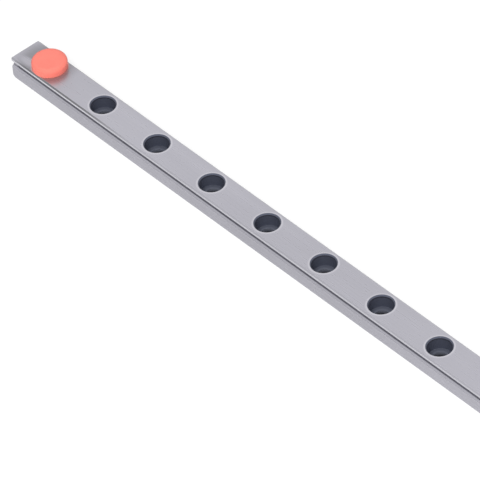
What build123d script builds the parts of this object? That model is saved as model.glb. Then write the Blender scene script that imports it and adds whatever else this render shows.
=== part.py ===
"""Miniature profile linear guide rail with a soft stop plug in its first screw hole.

Millimetres, +Z up. X runs along the rail and Y across it. The origin is in the middle
of the rail's underside, and the stop plug is at the -X end.
"""
import os

from build123d import *

# Rail: length and row of screw holes
rail_length = 300.0
hole_pitch = 20.0
end_margin = 10.0  # from the -X end to the first hole's centre

# Rail: cross-section
rail_width = 9.0
rail_height = 6.5
top_chamfer = 0.35
foot_chamfer = 0.5

# Rail: ball raceway in each side, a pointed arch with a relief slot along its root
lip_height = 0.9  # side face left between the top and the raceway
mouth_height = 1.9
raceway_depth = 0.75
raceway_radius = 0.98
relief_height = 0.3
relief_depth = 0.15  # beyond the raceway's root

# Rail: ends, broken all round the outline, with the top and the corners cut back further
end_break = 0.5
end_chamfer = 0.55
foot_end_radius = 2.8

# Screw holes: counterbored from the top
bolt_hole_diameter = 3.5
counterbore_diameter = 6.0
counterbore_depth = 3.5
counterbore_break = 0.35
foot_hole_break = 0.3

# Stop plug: a round head as wide as the rail, a collar in the counterbore, a pin below it
head_thickness = 2.7
head_crown = 0.1  # how far the middle of the head stands above its rim
head_top_radius = 1.0
head_foot_radius = 0.4
collar_lead = 0.4
pin_lead = 0.4
plug_clearance = 0.05  # all round, in the counterbore and in the bolt hole
collar_floor_gap = 0.4  # between the collar and the counterbore's floor
pin_foot_gap = 1.0  # between the pin's tip and the rail's underside

# How far a cutting tool runs past the face that it starts from
overrun = 1.0

# Keeps a whole number of pitches from being lost to rounding
pitch_slack = 0.001

first_hole_x = -rail_length / 2 + end_margin
hole_count = int((rail_length - 2 * end_margin + pitch_slack) / hole_pitch) + 1
hole_xs = [first_hole_x + index * hole_pitch for index in range(hole_count)]


def rail_section():
    """The rail's cross-section: the +Y half of the outline, then its mirror image."""
    side = rail_width / 2
    mouth_top = rail_height - lip_height
    mouth_foot = mouth_top - mouth_height
    middle = mouth_top - mouth_height / 2
    root = side - raceway_depth
    relief_floor = root - relief_depth
    relief_top = middle + relief_height / 2
    relief_foot = middle - relief_height / 2

    foot = Polyline((0, 0), (side - foot_chamfer, 0), (side, foot_chamfer), (side, mouth_foot))
    lower_arch = RadiusArc((side, mouth_foot), (root, relief_foot), raceway_radius)
    relief = Polyline(
        (root, relief_foot),
        (relief_floor, relief_foot),
        (relief_floor, relief_top),
        (root, relief_top),
    )
    upper_arch = RadiusArc((root, relief_top), (side, mouth_top), raceway_radius)
    lip = Polyline(
        (side, mouth_top),
        (side, rail_height - top_chamfer),
        (side - top_chamfer, rail_height),
        (0, rail_height),
    )
    half = foot + lower_arch + relief + upper_arch + lip
    return Plane.YZ * make_face(half + mirror(half, Plane.YZ))


def end_envelope():
    """The bar that the rail's ends are trimmed to: seen from the side, then from above."""
    side = Plane.XZ * Rectangle(rail_length, rail_height, align=(Align.CENTER, Align.MIN))
    side = fillet(side.vertices().group_by(Axis.Z)[0], foot_end_radius)
    side = chamfer(side.vertices().group_by(Axis.Z)[-1], end_chamfer)
    plan = Rectangle(rail_length, rail_width)
    plan = chamfer(plan.vertices(), end_chamfer)
    return extrude(side, rail_width / 2, both=True) & extrude(plan, rail_height)


def screw_hole_tool():
    """What a stepped drill takes out: broken counterbore, bolt hole, and a break at the foot."""
    bore = counterbore_diameter / 2
    hole = bolt_hole_diameter / 2
    floor = rail_height - counterbore_depth
    outline = Polyline(
        (0, -overrun),
        (hole + foot_hole_break, -overrun),
        (hole + foot_hole_break, 0),
        (hole, foot_hole_break),
        (hole, floor),
        (bore, floor),
        (bore, rail_height - counterbore_break),
        (bore + counterbore_break, rail_height),
        (bore + counterbore_break, rail_height + overrun),
        (0, rail_height + overrun),
        close=True,
    )
    return revolve(Plane.XZ * make_face(outline), Axis.Z)


def make_rail():
    """The ground bar with its ends trimmed, then drilled along the middle."""
    rail = extrude(rail_section(), rail_length / 2, both=True)
    end_faces = rail.faces().filter_by(Axis.X)
    rail = chamfer(end_faces.edges(), end_break)
    rail &= end_envelope()
    tool = screw_hole_tool()
    return rail - [Pos(x, 0, 0) * tool for x in hole_xs]


def make_stop_plug():
    """The plug, turned about its own axis with its head's seat at z = 0, then set on the rail."""
    head = rail_width / 2
    rim = head_thickness - head_crown
    collar = counterbore_diameter / 2 - plug_clearance
    collar_foot = collar_floor_gap - counterbore_depth
    pin = bolt_hole_diameter / 2 - plug_clearance
    pin_foot = pin_foot_gap - rail_height

    stem = Polyline(
        (0, head_thickness),
        (0, pin_foot),
        (pin - pin_lead, pin_foot),
        (pin, pin_foot + pin_lead),
        (pin, collar_foot),
        (collar - collar_lead, collar_foot),
        (collar, collar_foot + collar_lead),
        (collar, 0),
        (head, 0),
        (head, rim),
    )
    crown = TangentArc((0, head_thickness), (head, rim), tangent=(1, 0))
    profile = make_face(stem + crown)
    profile = fillet(profile.vertices().sort_by_distance((head, rim))[0], head_top_radius)
    profile = fillet(profile.vertices().sort_by_distance((head, 0))[0], head_foot_radius)
    return Pos(first_hole_x, 0, rail_height) * revolve(Plane.XZ * profile, Axis.Z)


os.makedirs("parts", exist_ok=True)
export_step(make_rail(), "parts/rail.step")
export_step(make_stop_plug(), "parts/stop_plug.step")
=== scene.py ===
"""Miniature profile linear guide rail with a soft stop plug in its first screw hole.

Metres, +Z up. X runs along the rail and Y across it. The stop plug is at the -X end.
"""
import math
from collections import Counter

import bmesh
import bpy
from mathutils import Matrix, Vector


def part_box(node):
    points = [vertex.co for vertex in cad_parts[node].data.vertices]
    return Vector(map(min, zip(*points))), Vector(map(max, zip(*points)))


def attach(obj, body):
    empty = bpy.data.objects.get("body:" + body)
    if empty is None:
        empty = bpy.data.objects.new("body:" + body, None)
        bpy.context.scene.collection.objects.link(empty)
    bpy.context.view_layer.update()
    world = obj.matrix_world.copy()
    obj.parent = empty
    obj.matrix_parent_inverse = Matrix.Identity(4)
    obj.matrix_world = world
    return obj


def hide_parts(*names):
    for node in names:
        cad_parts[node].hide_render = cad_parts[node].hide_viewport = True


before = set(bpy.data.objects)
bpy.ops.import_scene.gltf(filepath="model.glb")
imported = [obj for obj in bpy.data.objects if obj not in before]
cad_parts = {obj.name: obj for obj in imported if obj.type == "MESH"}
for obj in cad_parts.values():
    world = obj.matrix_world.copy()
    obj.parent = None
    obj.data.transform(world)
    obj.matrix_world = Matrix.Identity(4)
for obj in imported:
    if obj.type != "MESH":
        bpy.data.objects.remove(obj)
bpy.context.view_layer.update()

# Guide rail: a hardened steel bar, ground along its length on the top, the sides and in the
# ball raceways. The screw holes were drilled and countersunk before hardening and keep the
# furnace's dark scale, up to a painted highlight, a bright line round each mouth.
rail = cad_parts["rail"]
rail_low, rail_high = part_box("rail")
hole_pitch = 0.020
end_margin = 0.010  # from the end to the first hole's axis
bolt_hole_radius = 0.00175
counterbore_floor = 0.0030
countersink_foot = 0.00615
raceway_middle = 0.00465
raceway_half_height = 0.00095
land_foot = 0.0056  # of the land between the raceway and the top
side_face = 0.0045  # from the middle line
chamfer_face = 0.00415  # from the middle line, where the chamfer meets the top
chamfer_height = 0.00035

steel = bpy.data.materials.new("ground_steel")
steel.use_nodes = True


def new_group(name, inputs, outputs):
    """An empty shader node group with named sockets, and its two end nodes."""
    group = bpy.data.node_groups.new(name, "ShaderNodeTree")
    for socket, kind, value in inputs:
        made = group.interface.new_socket(socket, in_out="INPUT", socket_type=kind)
        made.default_value = value
    for socket in outputs:
        group.interface.new_socket(socket, in_out="OUTPUT", socket_type="NodeSocketFloat")
    return group, group.nodes.new("NodeGroupInput"), group.nodes.new("NodeGroupOutput")


def place(tree, kind, inputs=None, **settings):
    """A new node with its settings. An input is a plain value or the socket that feeds it."""
    node = tree.nodes.new(kind)
    for name, value in settings.items():
        setattr(node, name, value)
    for name, value in (inputs or {}).items():
        if isinstance(value, bpy.types.NodeSocket):
            tree.links.new(value, node.inputs[name])
        else:
            node.inputs[name].default_value = value
    return node


def work_out(tree, operation, *terms):
    """The result of a Math node, from sockets or plain numbers."""
    return place(tree, "ShaderNodeMath", dict(enumerate(terms)), operation=operation).outputs[0]


def both(tree, first, second):
    """A mask held back by another one or by a level: full only where both are."""
    return work_out(tree, "MULTIPLY", first, second)


def sum_of_squares(tree, x, y):
    """The square of how far a point lies from the middle."""
    return work_out(
        tree, "ADD", work_out(tree, "MULTIPLY", x, x), work_out(tree, "MULTIPLY", y, y)
    )


def distance(tree, x, y, spot=(0.0, 0.0)):
    """How far a point lies from a spot, seen from above."""
    off_x = work_out(tree, "SUBTRACT", x, spot[0])
    off_y = work_out(tree, "SUBTRACT", y, spot[1])
    return work_out(tree, "SQRT", sum_of_squares(tree, off_x, off_y))


mask_span = (0.0, 1.0)  # from an empty mask to a full one


def fade(tree, value, span, levels=mask_span):
    """A smooth step from the first level to the second as a value crosses a span."""
    inputs = {
        "Value": value,
        "From Min": span[0],
        "From Max": span[1],
        "To Min": levels[0],
        "To Max": levels[1],
    }
    node = place(tree, "ShaderNodeMapRange", inputs, interpolation_type="SMOOTHSTEP")
    return node.outputs["Result"]


def tint(tree, mask, under, over, blend="MIX"):
    """A colour laid over another where a mask is full, from sockets or plain colours."""
    factor, colour_a, colour_b, colour_result = 0, 6, 7, 2  # a Mix node's sockets for colours
    inputs = {factor: mask, colour_a: under, colour_b: over}
    node = place(tree, "ShaderNodeMix", inputs, data_type="RGBA", blend_type=blend)
    return node.outputs[colour_result]


def toned(tree, colour, tone):
    """A plain colour, darker or lighter by a tone round 1."""
    return tint(tree, 1.0, colour, tone, "MULTIPLY")


def lay_out(tree):
    """Sets a tree's nodes in columns, each to the left of every node that it feeds."""
    column_width, row_height = 220, 260
    columns = {node.name: 0 for node in tree.nodes}
    for _ in tree.nodes:
        for link in tree.links:
            feeder, fed = link.from_node.name, link.to_node.name
            columns[feeder] = max(columns[feeder], columns[fed] + 1)
    rows = Counter()
    for node in tree.nodes:
        column = columns[node.name]
        node.location = (-column_width * column, -row_height * rows[column])
        rows[column] += 1


# Edge wear: handling polishes the outer edges. The mask is the angle between the face and
# the same face with its edges rounded off, broken up so that no edge is worn evenly.
wear_cosines = (0.995, 0.86)
chip_span = (0.3, 0.7)
chip_levels = (0.55, 1.0)
edge_wear, given, result = new_group(
    "edge_wear",
    [("Radius", "NodeSocketFloat", 0.0002), ("Breakup", "NodeSocketFloat", 900.0)],
    ["Mask"],
)
rounded = place(edge_wear, "ShaderNodeBevel", {"Radius": given.outputs["Radius"]}, samples=8)
flat = place(edge_wear, "ShaderNodeNewGeometry")
alike = place(
    edge_wear, "ShaderNodeVectorMath",
    {0: rounded.outputs["Normal"], 1: flat.outputs["Normal"]}, operation="DOT_PRODUCT",
)
bent = fade(edge_wear, alike.outputs["Value"], wear_cosines)
where = place(edge_wear, "ShaderNodeTexCoord")
chips = place(
    edge_wear, "ShaderNodeTexNoise",
    {
        "Vector": where.outputs["Object"],
        "Scale": given.outputs["Breakup"],
        "Detail": 3.0,
        "Roughness": 0.6,
    },
)
kept = fade(edge_wear, chips.outputs["Fac"], chip_span, chip_levels)
edge_wear.links.new(both(edge_wear, bent, kept), result.inputs["Mask"])
lay_out(edge_wear)

# Clouding: slow drifts of tone over a surface, from handling and a thin film of oil or dust,
# and finer ones of the same kind.
fine_to_slow = 14.0
clouding, given, result = new_group(
    "clouding",
    [("Scale", "NodeSocketFloat", 60.0), ("Stretch", "NodeSocketVector", (1.0, 1.0, 1.0))],
    ["Tone", "Fine"],
)
where = place(clouding, "ShaderNodeTexCoord")
drawn_out = place(
    clouding, "ShaderNodeVectorMath",
    {0: where.outputs["Object"], 1: given.outputs["Stretch"]}, operation="MULTIPLY",
)
slow_scale = given.outputs["Scale"]
fine_scale = work_out(clouding, "MULTIPLY", slow_scale, fine_to_slow)
for drift, scale, detail, roughness in (
    ("Tone", slow_scale, 2.0, 0.5),
    ("Fine", fine_scale, 4.0, 0.65),
):
    noise = place(
        clouding, "ShaderNodeTexNoise",
        {
            "Vector": drawn_out.outputs["Vector"],
            "Scale": scale,
            "Detail": detail,
            "Roughness": roughness,
        },
    )
    clouding.links.new(noise.outputs["Fac"], result.inputs[drift])
lay_out(clouding)

# The steel's own nodes start from the place on the rail. Each pair of lengths below goes from
# where a mask is empty to where it is full.
top_skin = (rail_high.z - 0.0001, rail_high.z - 0.00002)
tree = steel.node_tree
tree.nodes.clear()
where = place(tree, "ShaderNodeTexCoord")
split = place(tree, "ShaderNodeSeparateXYZ", {"Vector": where.outputs["Object"]})
along, across, height = split.outputs
out_from_middle = work_out(tree, "ABSOLUTE", across)
on_top = fade(tree, height, top_skin)

# How far a point lies from the axis of the screw hole that is nearest to it.
first_pitch = rail_low.x + end_margin - hole_pitch / 2
in_pitch = work_out(
    tree, "FLOORED_MODULO", work_out(tree, "SUBTRACT", along, first_pitch), hole_pitch
)
off_axis = work_out(tree, "SUBTRACT", in_pitch, hole_pitch / 2)
hole_distance = distance(tree, off_axis, across)

# The scale lines the holes and ends on the top, its edge set a little off their axes, so that it
# reaches further on the +Y side and towards the -X end. It is ground off at the foot too.
scale_middle = (-0.00007, 0.00006)
scale_edge = (0.00339, 0.00332)
scale_foot = (0.0001, 0.0004)
scale_distance = distance(tree, off_axis, across, scale_middle)
scaled = both(tree, fade(tree, scale_distance, scale_edge), fade(tree, height, scale_foot))

# A painted highlight: a bright line round each mouth.
mouth_line_edge = (0.00395, 0.00365)
mouth_line_depth = (rail_high.z - 0.0003, rail_high.z - 0.0002)
mouth_painted_highlight = both(
    tree, fade(tree, hole_distance, mouth_line_edge), fade(tree, height, mouth_line_depth)
)

# A black line follows the edge between each countersink and its bore. Screw heads have rubbed
# a ring on the counterbores' floors lighter, and the bolt holes below them get painted shade,
# darkest of all.
edge_line_foot = (countersink_foot - 0.00035, countersink_foot - 0.00010)
edge_line_top = (countersink_foot + 0.00012, countersink_foot + 0.00006)
floor_skin = (counterbore_floor + 0.00008, counterbore_floor + 0.00002)
seat_edge = (0.00245, 0.00215)
bolt_hole_edge = (bolt_hole_radius + 0.0001, bolt_hole_radius + 0.00002)
bolt_hole_depth = (counterbore_floor - 0.0002, counterbore_floor - 0.0012)
edge_line = both(tree, fade(tree, height, edge_line_foot), fade(tree, height, edge_line_top))
on_floor = fade(tree, height, floor_skin)
on_seat = fade(tree, hole_distance, seat_edge)
in_bolt_hole = both(
    tree, fade(tree, hole_distance, bolt_hole_edge), fade(tree, height, bolt_hole_depth)
)

# Painted shade deep in the raceways makes them darker than the ground flats. It fades out at the
# ends and is a little lighter near them. The raceways' mouths get a little painted shade all the
# way out.
race_edge = (raceway_half_height + 0.00003, raceway_half_height - 0.00003)
race_shade_edge = (0.00402, 0.00388)  # from the middle line
race_shade_root = (0.0034, 0.0035)
race_shade_end_fade = (0.0013, 0.0025)  # from the rail's end
race_shade_end_thinning = (0.006, 0.050)
race_shade_end_levels = (0.93, 1.0)
race_mouth_skin = (side_face - 0.00001, side_face - 0.00008)
race_mouth_level = 0.14
off_race = work_out(tree, "ABSOLUTE", work_out(tree, "SUBTRACT", height, raceway_middle))
by_race = fade(tree, off_race, race_edge)
in_race = both(
    tree,
    both(tree, fade(tree, out_from_middle, race_shade_edge), fade(tree, out_from_middle, race_shade_root)),
    by_race,
)
end_distance = work_out(tree, "SUBTRACT", rail_high.x, work_out(tree, "ABSOLUTE", along))
race_shade_by_end = both(
    tree, fade(tree, end_distance, race_shade_end_fade),
    fade(tree, end_distance, race_shade_end_thinning, race_shade_end_levels),
)
in_race_mouth = both(tree, by_race, fade(tree, out_from_middle, race_mouth_skin))
raceway_painted_shade = work_out(
    tree, "MAXIMUM", both(tree, in_race, race_shade_by_end), both(tree, in_race_mouth, race_mouth_level)
)

# The land over each raceway gets a painted highlight, brightest beside the plug.
land_rise = (land_foot, land_foot + 0.00004)
side_skin = (side_face - 0.00004, side_face - 0.00001)
on_land = both(tree, fade(tree, height, land_rise), fade(tree, out_from_middle, side_skin))

# A painted shadow of the stop plug lies on the top round it, most of it towards the end,
# and a spot by the near corner is left lighter.
plug_shadow_middle = (-0.0015, 0.0006)  # from the plug's axis
plug_shadow_edge = (0.0095, 0.0050)
plug_shadow_level = 0.64
lit_spot_middle = (-0.0052, -0.0025)  # from the plug's axis
lit_spot_half_length = 0.0034
lit_spot_half_width = 0.0014
lit_spot_span = (0.0, 1.3)
lit_spot_levels = (0.1, 1.0)
from_plug = work_out(tree, "SUBTRACT", along, rail_low.x + end_margin)
plug_shadow_distance = distance(tree, from_plug, across, plug_shadow_middle)
spread = both(tree, fade(tree, plug_shadow_distance, plug_shadow_edge), on_top)
lit_spot_x = work_out(tree, "SUBTRACT", from_plug, lit_spot_middle[0])
lit_spot_y = work_out(tree, "SUBTRACT", across, lit_spot_middle[1])
lit_spot_square = sum_of_squares(
    tree,
    work_out(tree, "DIVIDE", lit_spot_x, lit_spot_half_length),
    work_out(tree, "DIVIDE", lit_spot_y, lit_spot_half_width),
)
painted_plug_shadow = both(tree, spread, fade(tree, lit_spot_square, lit_spot_span, lit_spot_levels))

# The broken edge beside the plug is painted darker too, some way along.
chamfer_skin = (chamfer_face, chamfer_face + 0.00004)
chamfer_rise = (
    rail_high.z - chamfer_height - 0.00001, rail_high.z - chamfer_height + 0.00002
)
run_near = (-0.0105, -0.0035)  # from the plug's axis
run_far = (0.036, 0.014)
by_plug = both(tree, fade(tree, from_plug, run_near), fade(tree, from_plug, run_far))
on_chamfer = both(
    tree, fade(tree, out_from_middle, chamfer_skin), fade(tree, height, chamfer_rise)
)
# The painted shadow of the plug and the darker edge beside it, as one mask.
plug_shadow_and_dark_edge = work_out(
    tree, "MAXIMUM", both(tree, painted_plug_shadow, plug_shadow_level), both(tree, on_chamfer, by_plug)
)

# Painted light: the steel round the plug's foot is reddened, for the light that comes through it.
painted_glow_edge = (0.0049, 0.0044)  # from the plug's axis
painted_red_glow = both(tree, fade(tree, distance(tree, from_plug, across), painted_glow_edge), on_top)

# Grinding lines run along the rail, and turning rings run round the bores.
grind = place(
    tree, "ShaderNodeMapping", {"Vector": where.outputs["Object"], "Scale": (7.0, 4600.0, 4600.0)}
)
lines = place(
    tree, "ShaderNodeTexNoise",
    {"Vector": grind.outputs["Vector"], "Scale": 1.0, "Detail": 5.0, "Roughness": 0.5},
)
ring_place = place(tree, "ShaderNodeCombineXYZ", {"X": hole_distance, "Y": height})
rings = place(
    tree, "ShaderNodeTexNoise",
    {"Vector": ring_place.outputs["Vector"], "Scale": 9000.0, "Detail": 3.0, "Roughness": 0.6},
)
clouds = place(
    tree, "ShaderNodeGroup", {"Scale": 70.0, "Stretch": (0.35, 1.0, 1.0)}, node_tree=clouding
)
worn = place(
    tree, "ShaderNodeGroup", {"Radius": 0.00022, "Breakup": 700.0}, node_tree=edge_wear
)

# The colour of the ground faces: over the steel's own grey come its worn edges and the painted
# highlights round the mouths, the land's painted highlight, the painted shadow of the plug and
# the darker edge beside it, the painted shade in the raceways and the plug's painted red light,
# in that order.
noise_span = (0.25, 0.75)  # where most of a noise's values lie
grind_tones = (0.965, 1.03)
cloud_tones = (0.96, 1.04)
wear_and_highlight_level = 0.5
shadow_patch_span = (0.35, 0.6)
shadow_patch_levels = (0.8, 1.05)
steel_grey = (0.451, 0.445, 0.494, 1.0)
wear_and_highlight_grey = (0.66, 0.65, 0.70, 1.0)
land_highlight_grey = (0.61, 0.605, 0.65, 1.0)
land_highlight_grey_by_plug = (0.71, 0.705, 0.75, 1.0)
plug_shadow_and_edge_grey = (0.21, 0.208, 0.225, 1.0)
raceway_shade_grey = (0.125, 0.123, 0.154, 1.0)
painted_glow_red = (0.66, 0.40, 0.40, 1.0)
tone = work_out(
    tree, "MULTIPLY",
    fade(tree, lines.outputs["Fac"], noise_span, grind_tones),
    fade(tree, clouds.outputs["Tone"], noise_span, cloud_tones),
)
# Real edge wear and the painted highlight round the mouths are laid on together.
wear_and_painted_highlight = work_out(tree, "MAXIMUM", worn.outputs["Mask"], mouth_painted_highlight)
plug_shadow_and_dark_edge_patches = both(tree, plug_shadow_and_dark_edge, fade(tree, clouds.outputs["Tone"], shadow_patch_span, shadow_patch_levels))
ground_colour = toned(tree, steel_grey, tone)
for mask, colour in (
    (both(tree, wear_and_painted_highlight, wear_and_highlight_level), wear_and_highlight_grey),
    (on_land, tint(tree, by_plug, land_highlight_grey, land_highlight_grey_by_plug)),
    (plug_shadow_and_dark_edge_patches, plug_shadow_and_edge_grey),
    (raceway_painted_shade, raceway_shade_grey),
    (painted_red_glow, painted_glow_red),
):
    ground_colour = tint(tree, mask, ground_colour, colour)

# The colour of the scale in the holes, made up in the same way.
ring_tones = (0.75, 1.25)
scale_blue = (0.088, 0.097, 0.135, 1.0)
edge_line_black = (0.030, 0.031, 0.045, 1.0)
floor_blue = (0.116, 0.125, 0.163, 1.0)
seat_blue = (0.151, 0.161, 0.205, 1.0)
bolt_hole_painted_shade = (0.036, 0.038, 0.050, 1.0)
scale_tone = fade(tree, rings.outputs["Fac"], noise_span, ring_tones)
scale_colour = toned(tree, scale_blue, scale_tone)
for mask, colour in (
    (edge_line, edge_line_black),
    (on_floor, tint(tree, on_seat, floor_blue, seat_blue)),
    (in_bolt_hole, bolt_hole_painted_shade),
):
    scale_colour = tint(tree, mask, scale_colour, colour)
steel_colour = tint(tree, scaled, ground_colour, scale_colour)

# Bare steel is more of a metal than its scale, and smoother.
metal_levels = (0.72, 0.4)
grind_span = (0.2, 0.8)
grind_roughness = (0.36, 0.26)
cloud_roughness = (-0.03, 0.04)
scale_roughness = 0.22
metal = fade(tree, scaled, mask_span, metal_levels)
ground_rough = work_out(
    tree, "ADD",
    fade(tree, lines.outputs["Fac"], grind_span, grind_roughness),
    fade(tree, clouds.outputs["Fine"], noise_span, cloud_roughness),
)
rough = work_out(tree, "ADD", ground_rough, both(tree, scaled, scale_roughness))

# The grinding lines and the turning rings are fine grooves too.
relief = work_out(
    tree, "ADD",
    both(tree, lines.outputs["Fac"], work_out(tree, "SUBTRACT", 1.0, scaled)),
    both(tree, rings.outputs["Fac"], scaled),
)
soft_edges = place(tree, "ShaderNodeBevel", {"Radius": 0.00006}, samples=8)
bump = place(
    tree, "ShaderNodeBump",
    {
        "Height": relief,
        "Normal": soft_edges.outputs["Normal"],
        "Strength": 0.3,
        "Distance": 0.000003,
    },
)
surface = place(
    tree, "ShaderNodeBsdfPrincipled",
    {
        "Base Color": steel_colour,
        "Metallic": metal,
        "Roughness": rough,
        "Normal": bump.outputs["Normal"],
        "IOR": 1.5,
    },
)
place(tree, "ShaderNodeOutputMaterial", {"Surface": surface.outputs["BSDF"]})
lay_out(tree)

rail.material_slots[0].material = steel

# Stop plug: a soft plastic button, moulded in coral red, with a low round head that stands on
# the rail's top and a stem that is pressed into the first screw hole. It keeps a carriage
# from running off that end.
plug_low, plug_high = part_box("stop_plug")
plug_axis = (plug_low + plug_high) / 2
head_radius = (plug_high.x - plug_low.x) / 2
head_crown = 0.0001
head_rim = plug_high.z - head_crown
head_top_radius = 0.001
head_foot_radius = 0.0004
crown_radius = 0.0034  # of the crown's last ring, which leaves room for the rim's rounding
crown_rings = 6
collar_radius = 0.00295
collar_foot = 0.0034
pin_radius = 0.0017
lead = 0.0004  # of the breaks at the feet of the collar and the pin
spin_steps = 96
rounding_segments = 8
merge_distance = 0.000002
sharp_angle = math.radians(35)

# The plug's half section from the middle of the crown down to the tip of the pin, spun round.
crown_outs = [crown_radius * ring / crown_rings for ring in range(crown_rings + 1)]
half_section = [(out, head_rim + head_crown * (1 - (out / head_radius) ** 2)) for out in crown_outs]
half_section += [
    (head_radius, head_rim),
    (head_radius, rail_high.z),
    (collar_radius, rail_high.z),
    (collar_radius, collar_foot + lead),
    (collar_radius - lead, collar_foot),
    (pin_radius, collar_foot),
    (pin_radius, plug_low.z + lead),
    (pin_radius - lead, plug_low.z),
    (0.0, plug_low.z),
]
shape = bmesh.new()
corners = [shape.verts.new((plug_axis.x + out, 0.0, up)) for out, up in half_section]
sides = [shape.edges.new(pair) for pair in zip(corners, corners[1:])]
bmesh.ops.spin(
    shape, geom=corners + sides, cent=(plug_axis.x, 0.0, 0.0), axis=(0.0, 0.0, 1.0),
    angle=math.tau, steps=spin_steps, use_merge=True,
)
bmesh.ops.remove_doubles(shape, verts=shape.verts, dist=merge_distance)
bmesh.ops.recalc_face_normals(shape, faces=shape.faces)


def ring_edges(shape, centre, radius, height):
    """The edges of a spun shape that lie on one circle round its axis."""
    radius_slack, height_slack = 0.00002, 0.00001
    return [
        edge for edge in shape.edges
        if all(
            abs(math.hypot(end.co.x - centre.x, end.co.y) - radius) < radius_slack
            and abs(end.co.z - height) < height_slack
            for end in edge.verts
        )
    ]


for ring_height, rounding in ((head_rim, head_top_radius), (rail_high.z, head_foot_radius)):
    bmesh.ops.bevel(
        shape, geom=ring_edges(shape, plug_axis, head_radius, ring_height), offset=rounding,
        offset_type="OFFSET", segments=rounding_segments, profile=0.5, affect="EDGES", material=-1,
    )
for face in shape.faces:
    face.smooth = True
button = bpy.data.meshes.new("stop_button")
shape.to_mesh(button)
shape.free()
button.set_sharp_from_angle(angle=sharp_angle)
plug = bpy.data.objects.new("stop_button", button)
bpy.context.scene.collection.objects.link(plug)

# The plastic's colour drifts a little. The rounded rim and the side get painted shade, a little
# deeper than the crown, the head's foot is painted paler, for light that comes through its thin
# lip, and handling has rubbed the edges.
coral = (0.94, 0.234, 0.183, 1.0)
rim_shade_coral = (0.94, 0.210, 0.162, 1.0)
foot_painted_light_coral = (1.0, 0.46, 0.37, 1.0)
rubbed_coral = (0.98, 0.36, 0.28, 1.0)
drift_span = (0.3, 0.7)
drift_tones = (0.94, 1.03)
rim_fall = (head_rim + 0.00002, head_rim - 0.0003)
foot_fall = (rail_high.z + 0.00045, rail_high.z + 0.0001)
foot_rise = (rail_high.z - 0.0001, rail_high.z)
rubbed_level = 0.05
skin_roughness = (0.46, 0.60)
plastic = bpy.data.materials.new("soft_plastic")
plastic.use_nodes = True
tree = plastic.node_tree
tree.nodes.clear()
where = place(tree, "ShaderNodeTexCoord")
split = place(tree, "ShaderNodeSeparateXYZ", {"Vector": where.outputs["Object"]})
plug_height = split.outputs["Z"]
clouds = place(
    tree, "ShaderNodeGroup", {"Scale": 260.0, "Stretch": (1.0, 1.0, 1.0)}, node_tree=clouding
)
worn = place(
    tree, "ShaderNodeGroup", {"Radius": 0.0003, "Breakup": 1200.0}, node_tree=edge_wear
)
drift = fade(tree, clouds.outputs["Tone"], drift_span, drift_tones)
on_rim = fade(tree, plug_height, rim_fall)
on_foot = both(tree, fade(tree, plug_height, foot_fall), fade(tree, plug_height, foot_rise))
plug_colour = toned(tree, coral, drift)
for mask, colour in (
    (on_rim, rim_shade_coral),
    (on_foot, foot_painted_light_coral),
    (both(tree, worn.outputs["Mask"], rubbed_level), rubbed_coral),
):
    plug_colour = tint(tree, mask, plug_colour, colour)

# Its skin has the fine grain of the mould.
skin = place(
    tree, "ShaderNodeTexVoronoi",
    {"Vector": where.outputs["Object"], "Scale": 9000.0, "Smoothness": 0.6}, feature="SMOOTH_F1",
)
bump = place(
    tree, "ShaderNodeBump",
    {"Height": skin.outputs["Distance"], "Strength": 0.35, "Distance": 0.00001},
)
surface = place(
    tree, "ShaderNodeBsdfPrincipled",
    {
        "Base Color": plug_colour,
        "Roughness": fade(tree, clouds.outputs["Fine"], drift_span, skin_roughness),
        "Normal": bump.outputs["Normal"],
        "IOR": 1.48,
        "Metallic": 0.0,
    },
)
place(tree, "ShaderNodeOutputMaterial", {"Surface": surface.outputs["BSDF"]})
lay_out(tree)

button.materials.append(plastic)
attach(plug, "root")
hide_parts("stop_plug")

# Floor: a wide pale board under the rail, and nothing else. It shows white where it is lit,
# and keeps the soft shadow that the rail throws on it.
floor_radius = 12.0
floor_sides = 64
board_grey = (0.40, 0.40, 0.40, 1.0)
board_span = (0.3, 0.7)
board_tones = (0.985, 1.0)
board_glow = (0.65, 0.42)  # to the camera, and to what mirrors the board
bounce_grey = (0.75, 0.75, 0.75, 1.0)  # of the light that it throws back up
board = bpy.data.meshes.new("floor")
shape = bmesh.new()
bmesh.ops.create_circle(shape, cap_ends=True, segments=floor_sides, radius=floor_radius)
shape.to_mesh(board)
shape.free()
floor = bpy.data.objects.new("floor", board)
bpy.context.scene.collection.objects.link(floor)


def seen_rays(tree, rays):
    """1 for rays from the camera, straight, mirrored or through glass, and 0 for the others."""
    seen = work_out(tree, "MAXIMUM", rays.outputs["Is Camera Ray"], rays.outputs["Is Glossy Ray"])
    return work_out(tree, "MAXIMUM", seen, rays.outputs["Is Transmission Ray"])


paper = bpy.data.materials.new("pale_board")
paper.use_nodes = True
tree = paper.node_tree
tree.nodes.clear()
rays = place(tree, "ShaderNodeLightPath")
clouds = place(tree, "ShaderNodeGroup", {"Scale": 8.0}, node_tree=clouding)
paper_tone = fade(tree, clouds.outputs["Tone"], board_span, board_tones)
plain = place(tree, "ShaderNodeBsdfDiffuse", {"Color": toned(tree, board_grey, paper_tone)})
shine = place(
    tree, "ShaderNodeEmission",
    {"Strength": fade(tree, rays.outputs["Is Glossy Ray"], mask_span, board_glow)},
)
lit_board = place(
    tree, "ShaderNodeAddShader", {0: plain.outputs["BSDF"], 1: shine.outputs["Emission"]}
)
bounce = place(tree, "ShaderNodeBsdfDiffuse", {"Color": bounce_grey})
choice = place(
    tree, "ShaderNodeMixShader",
    {"Fac": seen_rays(tree, rays), 1: bounce.outputs["BSDF"], 2: lit_board.outputs["Shader"]},
)
place(tree, "ShaderNodeOutputMaterial", {"Surface": choice.outputs["Shader"]})
lay_out(tree)
board.materials.append(paper)

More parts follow.
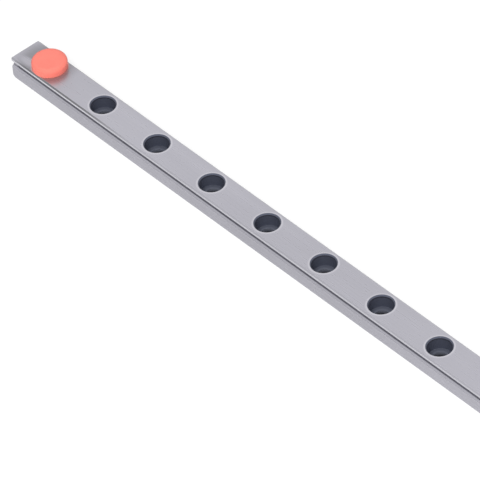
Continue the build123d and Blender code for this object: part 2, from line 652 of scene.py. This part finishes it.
# Studio: a white room with one large soft box by the camera's right. Polished metal mirrors
# the room at full white too, but for a dim corner low down in front of the rail.
white = (1.0, 1.0, 1.0, 1.0)
room_light = 0.45  # that falls on what isn't mirrored
dim_corner = Vector((-0.57, -0.82, 0.0)).normalized()
corner_cosines = (0.86, 0.985)
corner_levels = (1.0, 0.08)
room = bpy.data.worlds.new("white_room")
bpy.context.scene.world = room
room.use_nodes = True
tree = room.node_tree
tree.nodes.clear()
rays = place(tree, "ShaderNodeLightPath")
direction = place(tree, "ShaderNodeTexCoord")
towards = place(
    tree, "ShaderNodeVectorMath", {0: direction.outputs["Generated"], 1: dim_corner},
    operation="DOT_PRODUCT",
)
shade = fade(tree, towards.outputs["Value"], corner_cosines, corner_levels)
not_camera = work_out(tree, "SUBTRACT", 1.0, rays.outputs["Is Camera Ray"])
dim = place(tree, "ShaderNodeBackground", {"Color": white, "Strength": room_light})
full = place(
    tree, "ShaderNodeBackground", {"Color": tint(tree, not_camera, white, shade), "Strength": 1.0}
)
choice = place(
    tree, "ShaderNodeMixShader",
    {"Fac": seen_rays(tree, rays), 1: dim.outputs["Background"], 2: full.outputs["Background"]},
)
place(tree, "ShaderNodeOutputWorld", {"Surface": choice.outputs["Shader"]})
lay_out(tree)

key_place = Vector((0.45, -0.55, 0.85))
key_aim = Vector((-0.06, 0.0, 0.0))
key = bpy.data.lights.new("key_softbox", "AREA")
key.shape = "SQUARE"
key.size = 0.5
key.energy = 12.5
key_object = bpy.data.objects.new("key_softbox", key)
bpy.context.scene.collection.objects.link(key_object)
key_object.location = key_place
key_object.visible_glossy = False
key_object.rotation_euler = (key_aim - key_place).to_track_quat("-Z", "Y").to_euler()

# Camera: a long lens from above the rail's near side, beyond the end that has no plug, rolled
# a little so that the rail runs down the picture as it does in the photograph.
camera_place = Vector((0.76356, -0.65675, 0.98815))
camera_aim = Vector((-0.06021, -0.00852, 0.0065))
camera_roll = math.radians(-5.103)
lens = bpy.data.cameras.new("camera")
lens.sensor_width = 36.0
lens.lens = 454.29
camera = bpy.data.objects.new("camera", lens)
bpy.context.scene.collection.objects.link(camera)
aimed = (camera_aim - camera_place).to_track_quat("-Z", "Y").to_matrix().to_4x4()
rolled = Matrix.Rotation(camera_roll, 4, "Z")
camera.matrix_world = Matrix.Translation(camera_place) @ aimed @ rolled
bpy.context.scene.camera = camera
bpy.context.scene.view_settings.view_transform = "Standard"
